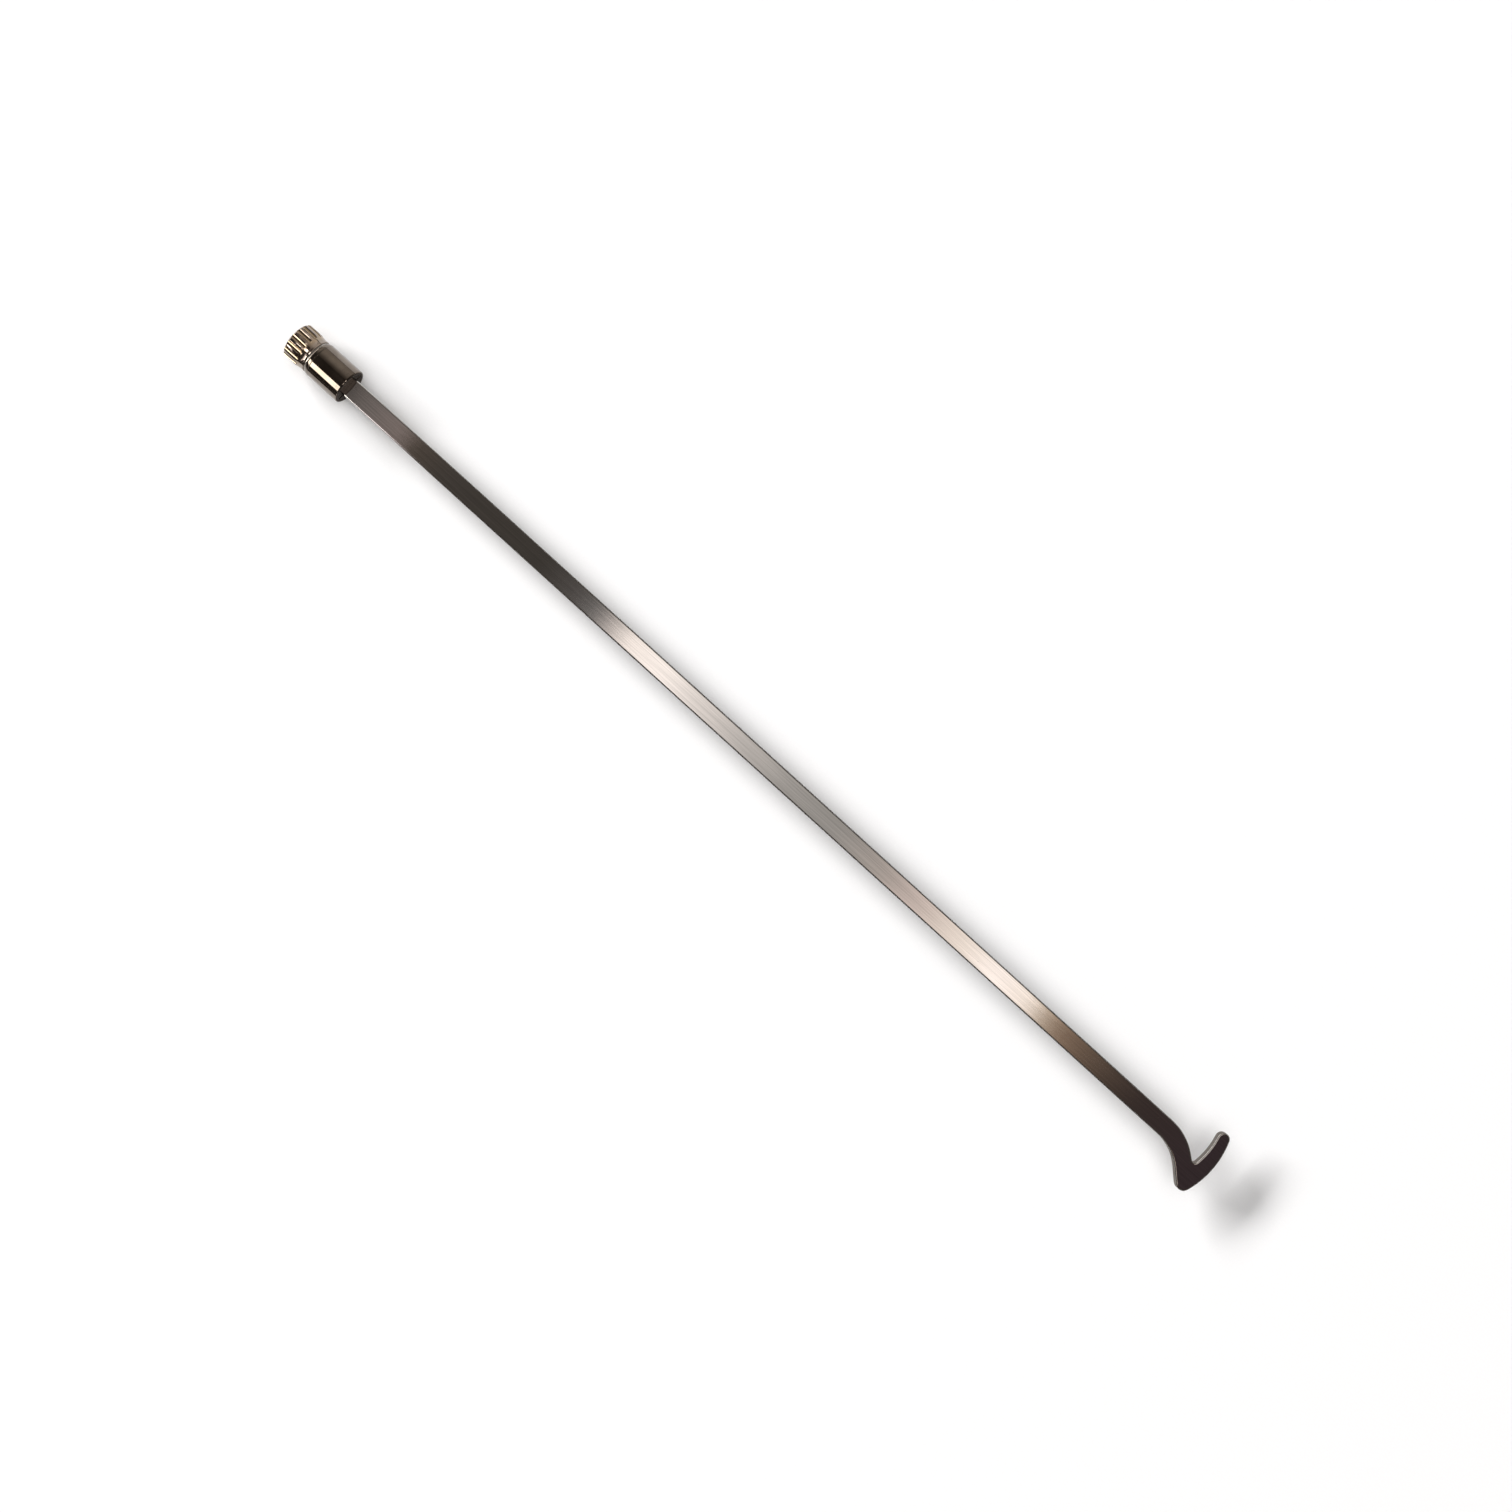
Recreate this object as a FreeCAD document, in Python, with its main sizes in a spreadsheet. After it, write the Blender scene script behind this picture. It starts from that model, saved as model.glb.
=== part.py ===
import FreeCAD, Part
import math
import os
import Sketcher

# Inoculating hook: a flat steel blade with a crescent foot, gripped by a draw-in collet chuck.
# Origin: middle of the collar, on the axis that all pieces share. +X runs along the blade to its
# foot, +Z is square to the blade's flat face. Every piece is drawn from the chuck's front face
# and then moved forward by half the collar. Millimetres; angles in degrees.

SIZES = [
    # flat bar
    ("barWidth", 4.0, "blade width"),
    ("barThickness", 2.0, "blade thickness"),
    ("barEdgeRound", 0.35, "rounding of the blade's long edges"),
    ("reach", 230.3, "chuck face to the far side of the foot"),
    # bend and foot of the blade
    ("upperBendStart", 12.4, "start of the upper edge's bend, back from the far side of the foot"),
    ("upperBendRadius", 11.5, "bend radius of the upper edge"),
    ("upperTurn", 39.0, "angle that the upper edge turns through"),
    ("lowerBendStart", 12.7, "start of the lower edge's bend, back from the far side of the foot"),
    ("lowerBendRadius", 9.9, "bend radius of the lower edge"),
    ("lowerTurn", 43.0, "angle that the lower edge turns through"),
    ("notchRadius", 0.6, "inner corner between bend and foot"),
    ("footThickness", 3.15, "foot at its middle"),
    ("footOuterRadius", 18.8, "outer arc of the foot"),
    ("footOuterDrop", 0.3, "centre of the outer arc below the axis"),
    ("footInnerRadius", 16.0, "inner arc of the foot"),
    ("footInnerRise", 1.6, "centre of the inner arc above the axis"),
    ("tipHeight", 5.95, "centre of the rounded tip above the axis"),
    ("heelRadius", 1.6, "rounded heel"),
    # collet
    ("jawWall", 0.6, "collet wall beside the blade"),
    ("taperRise", 0.5, "collet at the chuck face, over its shank"),
    ("taperLength", 3.0, "length of the collet's taper"),
    ("colletFloor", 0.85, "metal between the blade's slot and the stem"),
    ("slitFloor", 0.5, "blade's slot beyond the slits"),
    ("slitWidth", 0.5, "slits that part the two jaws"),
    ("stemRadius", 1.4, "threaded stem"),
    ("stemLength", 5.55, "threaded stem behind the collet"),
    ("stemEdge", 0.3, "chamfer of the stem's tip"),
    # collar
    ("collarLength", 8.6, "collar, face to face"),
    ("grooveWall", 0.65, "collar wall over the retaining groove"),
    ("rimRound", 0.25, "rounding of the front rim"),
    ("shoulderLength", 0.9, "rounded rear shoulder, along the axis"),
    ("shoulderDrop", 0.2, "rounded rear shoulder, in radius"),
    ("rearBoreDepth", 2.15, "rear bore, from the collar's rear face"),
    # knob
    ("spigotStep", 0.25, "journal that turns in the collar, over the collet's shank"),
    ("spigotSpare", 0.15, "front of the journal to the floor of the rear bore"),
    ("waistDrop", 0.15, "narrowest part of the knob, under the collar"),
    ("waistLand", 0.25, "straight stretch at the waist"),
    ("neckLength", 2.0, "concave neck"),
    ("headStand", 0.1, "fluted head, over the collar"),
    ("headLength", 2.8, "fluted head"),
    ("headEdge", 0.45, "rounding of the head's far edge"),
    ("fluteCount", 16, "flutes round the head"),
    ("fluteRadius", 0.62, "cutter radius of a flute"),
    ("fluteDepth", 0.3, "depth of a flute"),
    ("fluteLength", 3.9, "length of a flute, with its run-out"),
    ("tapSpare", 0.5, "tapped bore beyond the tip of the stem"),
    # key pin
    ("pinRadius", 0.4, "key pin"),
    ("pinPlace", 3.45, "chuck face to the key pin"),
    ("pinSink", 0.05, "key pin below the collar's surface"),
    ("keywayDepth", 0.75, "keyway, into the collet's shank"),
    ("colletTravel", 1.0, "stroke of the collet"),
    # washer and retaining ring
    ("washerThickness", 0.3, "thrust washer"),
    ("washerInset", 0.35, "thrust washer, under the collar"),
    ("ringInset", 1.45, "collar's rear face to the retaining groove"),
    ("ringWidth", 0.4, "retaining ring, along the axis"),
    ("ringStand", 0.3, "retaining ring, out of the journal"),
    ("ringSeat", 0.25, "retaining ring, in the journal"),
    ("ringRoom", 0.25, "journal's groove below the ring"),
    ("ringOpening", 40.0, "gap of the split ring"),
    # clearances
    ("runningGap", 0.05, "between turning or sliding pieces"),
    ("pressGap", 0.01, "between the key pin and its hole"),
    ("endGap", 0.1, "at the ends of sliding pieces"),
]

# radii of pieces that fit in each other, outward from the blade
COLLET_RADIUS = "barWidth/2 + jawWall"
NOSE_RADIUS = COLLET_RADIUS + " + taperRise"
SPIGOT_RADIUS = COLLET_RADIUS + " + spigotStep"
RING_RADIUS = SPIGOT_RADIUS + " + ringStand"
RING_BORE = SPIGOT_RADIUS + " - ringSeat"
COLLAR_RADIUS = RING_RADIUS + " + runningGap + grooveWall"
HEAD_RADIUS = COLLAR_RADIUS + " + headStand"

# places along the axis, from the chuck's front face
REAR_BORE_FLOOR = "- collarLength + rearBoreDepth"
COLLET_BACK = REAR_BORE_FLOOR + " + endGap"
SLOT_FLOOR = COLLET_BACK + " + colletFloor"
TANG_END = SLOT_FLOOR + " + endGap"
STEM_TIP = COLLET_BACK + " - stemLength"
RING_GROOVE_FRONT = "- collarLength + ringInset"
RING_GROOVE_BACK = RING_GROOVE_FRONT + " - ringWidth - runningGap - runningGap"
WASHER_BACK = "- collarLength - washerThickness"

doc = FreeCAD.newDocument("InoculatingHook")
sheet = doc.addObject("Spreadsheet::Sheet", "Sizes")
for row, (alias, number, note) in enumerate(SIZES, start=1):
    sheet.set(f"A{row}", note)
    sheet.set(f"B{row}", str(number))
    sheet.setAlias(f"B{row}", alias)
doc.recompute()


def amount(formula):
    """Number of a sum of named sizes, such as "- collarLength + slitWidth/2"."""
    total = 0.0
    sign = 1
    for word in formula.split():
        if word in "+-":
            sign = 1 if word == "+" else -1
        else:
            alias, _, divisor = word.partition("/")
            total += sign * getattr(sheet, alias) / float(divisor or 1)
            sign = 1
    return total


def bound(formula):
    """The same sum as an expression on the sheet."""
    return " ".join(word if word in "+-" else "Sizes." + word for word in formula.split())


def opposite(formula):
    """The same sum with every sign turned round."""
    words = formula.split()
    if words[0] not in "+-":
        words.insert(0, "+")
    turned_words = ["+" if word == "-" else "-" if word == "+" else word for word in words]
    return " ".join(turned_words)


def origin_part(body, role):
    """Origin plane or axis of a body."""
    return next(part for part in body.Origin.OriginFeatures if part.Role == role)


def new_sketch(body, name, plane):
    """Empty sketch on one of the body's origin planes."""
    sketch = body.newObject("Sketcher::SketchObject", name)
    sketch.AttachmentSupport = (origin_part(body, plane), [""])
    sketch.MapMode = "FlatFace"
    return sketch


def drive(sketch, name, expression, *constraint):
    """Dimension of a sketch, tied to the sheet."""
    index = sketch.addConstraint(Sketcher.Constraint(*constraint))
    sketch.renameConstraint(index, name)
    sketch.setExpression(f"Constraints.{name}", expression)


def place_point(sketch, name, geometry, position, x_formula, y_formula):
    """Ties one end of a side to its place; an empty formula puts it on the axis."""
    if x_formula:
        drive(sketch, f"{name}X", bound(x_formula), "DistanceX", -1, 1, geometry, position, amount(x_formula))
    else:
        sketch.addConstraint(Sketcher.Constraint("PointOnObject", geometry, position, -2))
    if y_formula:
        drive(sketch, f"{name}Y", bound(y_formula), "DistanceY", -1, 1, geometry, position, amount(y_formula))
    else:
        sketch.addConstraint(Sketcher.Constraint("PointOnObject", geometry, position, -1))


def round_side(start, end, turn):
    """Arc from start to end that turns left or right, a sixth of a circle to begin with."""
    if turn == "right":
        start, end = end, start
    chord = end - start
    middle = (start + end) * 0.5
    centre = middle + FreeCAD.Vector(-chord.y, chord.x, 0) * math.cos(math.radians(30))
    first = math.atan2(start.y - centre.y, start.x - centre.x)
    last = math.atan2(end.y - centre.y, end.x - centre.x)
    circle = Part.Circle(centre, FreeCAD.Vector(0, 0, 1), chord.Length)
    return Part.ArcOfCircle(circle, first, last)


def outline(body, name, plane, corners):
    """Closed sketch through corners (x, y). A corner may add (turn, touches): its side is then
    an arc that turns left or right and is tangent to the side before or after it."""
    sketch = new_sketch(body, name, plane)
    points = [FreeCAD.Vector(amount(corner[0]), amount(corner[1]), 0) for corner in corners]
    ends = []
    for index, corner in enumerate(corners):
        start = points[index]
        end = points[(index + 1) % len(points)]
        turn = corner[2] if len(corner) > 2 else "straight"
        if turn == "straight":
            sketch.addGeometry(Part.LineSegment(start, end))
        else:
            sketch.addGeometry(round_side(start, end, turn))
        ends.append((2, 1) if turn == "right" else (1, 2))
    for index, corner in enumerate(corners):
        following = (index + 1) % len(corners)
        join = (index, ends[index][1], following, ends[following][0])
        tangent = len(corner) > 2 and corner[3] == "after"
        tangent = tangent or len(corners[following]) > 2 and corners[following][3] == "before"
        sketch.addConstraint(Sketcher.Constraint("Tangent" if tangent else "Coincident", *join))
    for index, corner in enumerate(corners):
        place_point(sketch, f"corner{index}", index, ends[index][0], corner[0], corner[1])
    return sketch


def new_body(node):
    """Body whose label names its file."""
    body = doc.addObject("PartDesign::Body", node)
    body.Label = node
    return body


def turned(node, corners, angle="360"):
    """Body turned about the X axis from a profile of corners (along the axis, radius)."""
    body = new_body(node)
    turning = body.newObject("PartDesign::Revolution", f"{node}_turning")
    turning.Profile = outline(body, f"{node}_profile", "XZ_Plane", corners)
    turning.ReferenceAxis = (origin_part(body, "X_Axis"), [""])
    turning.setExpression("Angle", angle)
    body.Tip = turning
    doc.recompute()
    return body


def cut(body, name, sketch, both_ways=False, depth=""):
    """Pocket of a sketch through everything, or as deep as a sum of sizes says."""
    before = body.Shape.Volume
    pocket = body.newObject("PartDesign::Pocket", name)
    pocket.Profile = sketch
    pocket.SideType = "Symmetric" if both_ways else "One side"
    if depth:
        pocket.Type = "Length"
        pocket.setExpression("Length", bound(depth))
    else:
        pocket.Type = "ThroughAll"
    body.Tip = pocket
    doc.recompute()
    if body.Shape.Volume > before - 0.01:
        raise RuntimeError(f"{name} cuts nothing")


def make_blade():
    """Flat bar with its bend and crescent foot, all in one outline, with rounded edges."""
    body = new_body("hook_blade")
    sketch = new_sketch(body, "blade_outline", "XY_Plane")
    half = sheet.barWidth / 2
    upper_turn = math.radians(sheet.upperTurn)
    lower_turn = math.radians(sheet.lowerTurn)
    up = math.pi / 2

    def point(x, y):
        return FreeCAD.Vector(x, y, 0)

    def step(start, angle, length):
        return start + point(math.cos(angle), math.sin(angle)) * length

    def arc(centre, radius, first, last):
        return Part.ArcOfCircle(Part.Circle(centre, FreeCAD.Vector(0, 0, 1), radius), first, last)

    def bearing(start, end):
        return math.atan2(end.y - start.y, end.x - start.x)

    lower_centre = point(sheet.reach - sheet.lowerBendStart, -half - sheet.lowerBendRadius)
    upper_centre = point(sheet.reach - sheet.upperBendStart, half - sheet.upperBendRadius)
    lower_end = step(lower_centre, up - lower_turn, sheet.lowerBendRadius)
    upper_end = step(upper_centre, up - upper_turn, sheet.upperBendRadius)
    outer_centre = point(sheet.reach - sheet.footOuterRadius, -sheet.footOuterDrop)
    inner_centre = point(sheet.reach - sheet.footThickness - sheet.footInnerRadius, sheet.footInnerRise)
    tip_radius = sheet.footThickness / 2
    tip_centre = point(sheet.reach - 2 * tip_radius, sheet.tipHeight)
    heel_centre = step(lower_end, up - lower_turn, sheet.heelRadius)
    heel_centre = step(heel_centre, -lower_turn, sheet.footThickness)
    notch_centre = step(upper_end, up - upper_turn, sheet.notchRadius)
    notch_centre = step(notch_centre, -upper_turn, sheet.notchRadius)
    heel_start = step(heel_centre, -up - lower_turn, sheet.heelRadius)
    notch_end = step(notch_centre, -up - upper_turn, sheet.notchRadius)
    tail = amount(TANG_END)
    sides = [
        Part.LineSegment(point(tail, -half), point(lower_centre.x, -half)),
        arc(lower_centre, sheet.lowerBendRadius, up - lower_turn, up),
        Part.LineSegment(lower_end, heel_start),
        arc(heel_centre, sheet.heelRadius, -up - lower_turn, bearing(outer_centre, heel_centre)),
        arc(outer_centre, sheet.footOuterRadius, bearing(outer_centre, heel_centre),
            bearing(outer_centre, tip_centre)),
        arc(tip_centre, tip_radius, bearing(outer_centre, tip_centre),
            math.pi + bearing(inner_centre, tip_centre)),
        arc(inner_centre, sheet.footInnerRadius, bearing(inner_centre, notch_centre),
            bearing(inner_centre, tip_centre)),
        arc(notch_centre, sheet.notchRadius, -up - upper_turn, bearing(inner_centre, notch_centre)),
        Part.LineSegment(notch_end, upper_end),
        arc(upper_centre, sheet.upperBendRadius, up - upper_turn, up),
        Part.LineSegment(point(upper_centre.x, half), point(tail, half)),
        Part.LineSegment(point(tail, half), point(tail, -half)),
    ]
    bottom, lower_bend, lower_slope, heel, outer, tip = range(6)
    inner, notch, upper_slope, upper_bend, top, tang_end = range(6, 12)
    sketch.addGeometry(sides)
    smooth_joins = [
        (bottom, 2, lower_bend, 2), (lower_bend, 1, lower_slope, 1), (lower_slope, 2, heel, 1),
        (heel, 2, outer, 1), (outer, 2, tip, 1), (tip, 2, inner, 2), (inner, 1, notch, 2),
        (notch, 1, upper_slope, 1), (upper_slope, 2, upper_bend, 1), (upper_bend, 2, top, 1),
    ]
    for join in smooth_joins:
        sketch.addConstraint(Sketcher.Constraint("Tangent", *join))
    sketch.addConstraint(Sketcher.Constraint("Coincident", top, 2, tang_end, 1))
    sketch.addConstraint(Sketcher.Constraint("Coincident", tang_end, 2, bottom, 1))
    sketch.addConstraint(Sketcher.Constraint("Horizontal", bottom))
    sketch.addConstraint(Sketcher.Constraint("Horizontal", top))
    sketch.addConstraint(Sketcher.Constraint("Symmetric", tang_end, 1, tang_end, 2, -1))
    drive(sketch, "width", "Sizes.barWidth", "Distance", tang_end, sheet.barWidth)
    drive(sketch, "tang", bound(TANG_END), "DistanceX", -1, 1, bottom, 1, tail)
    for name, side, position in (("lowerBend", bottom, 2), ("upperBend", top, 1)):
        place = f"reach - {name}Start"
        drive(sketch, f"{name}Place", bound(place), "DistanceX", -1, 1, side, position, amount(place))
    rounds = {"lowerBendRadius": lower_bend, "heelRadius": heel, "footOuterRadius": outer,
              "footInnerRadius": inner, "notchRadius": notch, "upperBendRadius": upper_bend}
    for alias, side in rounds.items():
        drive(sketch, alias, f"Sizes.{alias}", "Radius", side, getattr(sheet, alias))
    drive(sketch, "lowerSlope", "-Sizes.lowerTurn * 1 deg", "Angle", lower_slope, -lower_turn)
    drive(sketch, "upperSlope", "(180 - Sizes.upperTurn) * 1 deg", "Angle", upper_slope, math.pi - upper_turn)
    centres = [("outerCentre", outer, "reach - footOuterRadius", "- footOuterDrop"),
               ("innerCentre", inner, "reach - footThickness - footInnerRadius", "footInnerRise")]
    for name, side, x_formula, y_formula in centres:
        place_point(sketch, name, side, 3, x_formula, y_formula)
    drive(sketch, "tipHeight", "Sizes.tipHeight", "DistanceY", -1, 1, tip, 3, sheet.tipHeight)

    pad = body.newObject("PartDesign::Pad", "blade_pad")
    pad.Profile = sketch
    pad.SideType = "Symmetric"
    pad.setExpression("Length", "Sizes.barThickness")
    body.Tip = pad
    doc.recompute()

    level = sheet.barThickness / 2
    flat_edges = [f"Edge{number}" for number, edge in enumerate(pad.Shape.Edges, start=1)
                  if math.isclose(abs(edge.CenterOfMass.z), level, abs_tol=level / 100)]
    rounding = body.newObject("PartDesign::Fillet", "blade_edges")
    rounding.Base = (pad, flat_edges)
    rounding.setExpression("Radius", "Sizes.barEdgeRound")
    body.Tip = rounding
    doc.recompute()
    return body


def make_collar():
    """Turned sleeve: tapered mouth, plain bore, and a grooved rear bore for the knob's journal."""
    journal_bore = SPIGOT_RADIUS + " + runningGap"
    collet_bore = COLLET_RADIUS + " + runningGap"
    groove_bore = RING_RADIUS + " + runningGap"
    body = turned("chuck_collar", [
        ("", NOSE_RADIUS + " + runningGap"),
        ("", COLLAR_RADIUS + " - rimRound", "left", "after"),
        ("- rimRound", COLLAR_RADIUS),
        ("- collarLength + shoulderLength", COLLAR_RADIUS, "left", "before"),
        ("- collarLength", COLLAR_RADIUS + " - shoulderDrop"),
        ("- collarLength", journal_bore),
        (RING_GROOVE_BACK, journal_bore),
        (RING_GROOVE_BACK, groove_bore),
        (RING_GROOVE_FRONT, groove_bore),
        (RING_GROOVE_FRONT, journal_bore),
        (REAR_BORE_FLOOR, journal_bore),
        (REAR_BORE_FLOOR, collet_bore),
        ("- taperLength", collet_bore),
    ])
    sketch = new_sketch(body, "pin_hole_circle", "XY_Plane")
    centre = FreeCAD.Vector(-sheet.pinPlace, 0, 0)
    sketch.addGeometry(Part.Circle(centre, FreeCAD.Vector(0, 0, 1), sheet.pinRadius))
    place_point(sketch, "centre", 0, 3, "- pinPlace", "")
    drive(sketch, "radius", bound("pinRadius + pressGap"), "Radius", 0, amount("pinRadius + pressGap"))
    cut(body, "pin_hole", sketch)
    return body


def make_knob():
    """Fluted head on a concave neck, with the journal and tapped bore that work the collet."""
    neck_face = WASHER_BACK + " - runningGap"
    neck_start = neck_face + " - waistLand"
    head_start = neck_start + " - neckLength"
    head_end = head_start + " - headLength"
    tap = "stemRadius + runningGap"
    tap_end = STEM_TIP + " - tapSpare"
    spigot_end = REAR_BORE_FLOOR + " - spigotSpare"
    groove_floor = RING_BORE + " - ringRoom"
    waist_radius = COLLAR_RADIUS + " - waistDrop"
    body = turned("clamp_knob", [
        (spigot_end, tap),
        (spigot_end, SPIGOT_RADIUS),
        (RING_GROOVE_FRONT, SPIGOT_RADIUS),
        (RING_GROOVE_FRONT, groove_floor),
        (RING_GROOVE_BACK, groove_floor),
        (RING_GROOVE_BACK, SPIGOT_RADIUS),
        (neck_face, SPIGOT_RADIUS),
        (neck_face, waist_radius),
        (neck_start, waist_radius, "right", "before"),
        (head_start, HEAD_RADIUS),
        (head_end + " + headEdge", HEAD_RADIUS, "left", "before"),
        (head_end, HEAD_RADIUS + " - headEdge"),
        (head_end, ""),
        (tap_end, ""),
        (tap_end, tap),
    ])
    # the cutter is a round-nosed rod whose axis lies outside the head
    rod_side = HEAD_RADIUS + " - fluteDepth"
    rod_axis = rod_side + " + fluteRadius"
    rod_back = head_end + " - fluteRadius"
    rod_nose = head_end + " + fluteLength"
    sketch = outline(body, "flute_outline", "XZ_Plane", [
        (rod_back, rod_axis),
        (rod_back, rod_side),
        (rod_nose + " - fluteRadius", rod_side, "left", "before"),
        (rod_nose, rod_axis),
    ])
    axis_start = FreeCAD.Vector(amount(rod_back), amount(rod_axis), 0)
    axis_end = FreeCAD.Vector(amount(rod_nose), amount(rod_axis), 0)
    axis_line = sketch.addGeometry(Part.LineSegment(axis_start, axis_end), True)
    sketch.addConstraint(Sketcher.Constraint("Coincident", axis_line, 1, 0, 1))
    sketch.addConstraint(Sketcher.Constraint("Coincident", axis_line, 2, 3, 1))
    before = body.Shape.Volume
    flute = body.newObject("PartDesign::Groove", "flute")
    flute.Profile = sketch
    flute.ReferenceAxis = (sketch, ["Axis0"])
    flute.Angle = 360
    body.Tip = flute
    doc.recompute()
    one_flute = before - body.Shape.Volume
    flutes = body.newObject("PartDesign::PolarPattern", "flutes")
    flutes.Originals = [flute]
    flutes.Axis = (origin_part(body, "X_Axis"), [""])
    flutes.Angle = 360
    flutes.setExpression("Occurrences", "Sizes.fluteCount")
    body.Tip = flutes
    doc.recompute()
    removed = before - body.Shape.Volume
    if not math.isclose(removed, sheet.fluteCount * one_flute, rel_tol=0.01):
        raise RuntimeError(f"flutes remove {removed:.3f} of {sheet.fluteCount * one_flute:.3f} mm3")
    return body


def make_collet():
    """Tapered collet with a rectangular slot for the tang, two jaws and a threaded stem."""
    body = turned("draw_collet", [
        ("", ""),
        ("", NOSE_RADIUS),
        ("- taperLength", COLLET_RADIUS),
        (COLLET_BACK, COLLET_RADIUS),
        (COLLET_BACK, "stemRadius"),
        (STEM_TIP + " + stemEdge", "stemRadius"),
        (STEM_TIP, "stemRadius - stemEdge"),
        (STEM_TIP, ""),
    ])
    # the slot is a running fit on the tang, whose half sizes it takes
    left = "- barWidth/2 - runningGap"
    right = "barWidth/2 + runningGap"
    bottom = "- barThickness/2 - runningGap"
    top = "barThickness/2 + runningGap"
    slot = outline(body, "tang_slot_outline", "YZ_Plane", [
        (left, bottom), (right, bottom), (right, top), (left, top),
    ])
    cut(body, "tang_slot", slot, depth=opposite(SLOT_FLOOR))
    slit_end = SLOT_FLOOR + " + slitFloor"
    slits = outline(body, "jaw_slits_outline", "XZ_Plane", [
        (slit_end, "- slitWidth/2"), ("", "- slitWidth/2"), ("", "slitWidth/2"), (slit_end, "slitWidth/2"),
    ])
    cut(body, "jaw_slits", slits, both_ways=True)
    # the keyway is as long as the pin and the collet's stroke together
    back = "- pinPlace - colletTravel - pinRadius - endGap"
    front = "- pinPlace + pinRadius + endGap"
    outside = opposite(NOSE_RADIUS)
    floor = opposite(COLLET_RADIUS + " - keywayDepth")
    keyway = outline(body, "keyway_outline", "XZ_Plane", [
        (back, outside), (front, outside), (front, floor), (back, floor),
    ])
    cut(body, "keyway", keyway, both_ways=True, depth="pinRadius + pinRadius + runningGap + runningGap")
    return body


def make_pin():
    """Key pin that stands in the collar's wall and keeps the collet from turning."""
    pin = doc.addObject("Part::Cylinder", "key_pin")
    pin.Label = "key_pin"
    pin.setExpression("Radius", "Sizes.pinRadius")
    outer_end = opposite(COLLAR_RADIUS) + " + pinSink"
    inner_end = opposite(COLLET_RADIUS) + " + keywayDepth - endGap"
    pin.setExpression("Height", bound(inner_end + " " + opposite(outer_end)))
    pin.setExpression("Placement.Base.x", bound("collarLength/2 - pinPlace"))
    pin.setExpression("Placement.Base.z", bound(outer_end))
    return pin


def make_washer():
    """Thrust washer between the collar and the knob."""
    bore = SPIGOT_RADIUS + " + endGap"
    outside = COLLAR_RADIUS + " - washerInset"
    return turned("thrust_washer", [
        ("- collarLength", bore), ("- collarLength", outside), (WASHER_BACK, outside), (WASHER_BACK, bore),
    ])


def make_ring():
    """Split ring that keeps the knob in the collar."""
    front = RING_GROOVE_FRONT + " - runningGap"
    back = front + " - ringWidth"
    return turned("retaining_ring", [
        (front, RING_BORE), (front, RING_RADIUS), (back, RING_RADIUS), (back, RING_BORE),
    ], angle="360 - Sizes.ringOpening")


bodies = [make_blade(), make_collar(), make_knob(), make_collet(), make_washer(), make_ring()]
for body in bodies:
    body.setExpression("Placement.Base.x", bound("collarLength/2"))
pieces = bodies + [make_pin()]
doc.recompute()

for item in doc.Objects:
    if "Invalid" in item.State or "Error" in item.State:
        raise RuntimeError(f"{item.Name} did not build: {item.State}")
for piece in pieces:
    if piece.Shape.isNull() or not piece.Shape.isValid() or len(piece.Shape.Solids) != 1:
        raise RuntimeError(f"{piece.Label} is not one sound solid")

os.makedirs("parts", exist_ok=True)
for piece in pieces:
    piece.Shape.exportStep(f"parts/{piece.Label}.step")
    print(f"{piece.Label}: {piece.Shape.Volume:.2f} mm3")
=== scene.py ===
import math
import bmesh
import bpy
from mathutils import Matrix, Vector


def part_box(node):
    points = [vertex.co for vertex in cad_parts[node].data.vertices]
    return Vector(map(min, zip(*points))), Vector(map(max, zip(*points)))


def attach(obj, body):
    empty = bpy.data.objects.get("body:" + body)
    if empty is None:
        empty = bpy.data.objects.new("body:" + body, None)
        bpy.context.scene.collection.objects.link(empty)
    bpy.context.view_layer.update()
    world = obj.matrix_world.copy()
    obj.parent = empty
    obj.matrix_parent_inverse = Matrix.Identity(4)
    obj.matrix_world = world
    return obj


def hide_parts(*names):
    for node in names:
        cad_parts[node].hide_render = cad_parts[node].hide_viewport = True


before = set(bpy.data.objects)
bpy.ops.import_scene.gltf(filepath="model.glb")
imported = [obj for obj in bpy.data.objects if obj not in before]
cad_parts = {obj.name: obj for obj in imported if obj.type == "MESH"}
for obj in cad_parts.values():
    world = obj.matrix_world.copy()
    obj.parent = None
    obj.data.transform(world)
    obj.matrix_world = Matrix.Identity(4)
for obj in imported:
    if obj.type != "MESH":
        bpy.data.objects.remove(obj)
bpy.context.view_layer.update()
print("frame loaded with", len(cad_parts), "nodes")

mm = 0.001
mergeDistance = 0.001 * mm
quarterTurn = math.pi / 2
fullTurn = 2 * math.pi


# small helpers for modelling by operators; places and lengths come in millimetres

def leaveEdit():
    if bpy.context.object and bpy.context.object.mode == "EDIT":
        bpy.ops.object.mode_set(mode="OBJECT")
    bpy.ops.object.select_all(action="DESELECT")


def makeActive(piece):
    leaveEdit()
    piece.select_set(True)
    bpy.context.view_layer.objects.active = piece


def startPoint(name, place):
    # a plane merged to one vertex, ready to be extruded along an outline
    leaveEdit()
    bpy.ops.mesh.primitive_plane_add(size=mm)
    piece = bpy.context.object
    piece.name = name
    piece.data.name = name
    bpy.ops.object.mode_set(mode="EDIT")
    bpy.ops.mesh.merge(type="CENTER")
    bpy.ops.transform.translate(value=Vector(place) * mm)
    return piece


def drawTo(place):
    drawn = bmesh.from_edit_mesh(bpy.context.object.data)
    pen = next(v.co.copy() for v in drawn.verts if v.select)
    bpy.ops.mesh.extrude_region_move(TRANSFORM_OT_translate={"value": Vector(place) * mm - pen})


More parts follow.
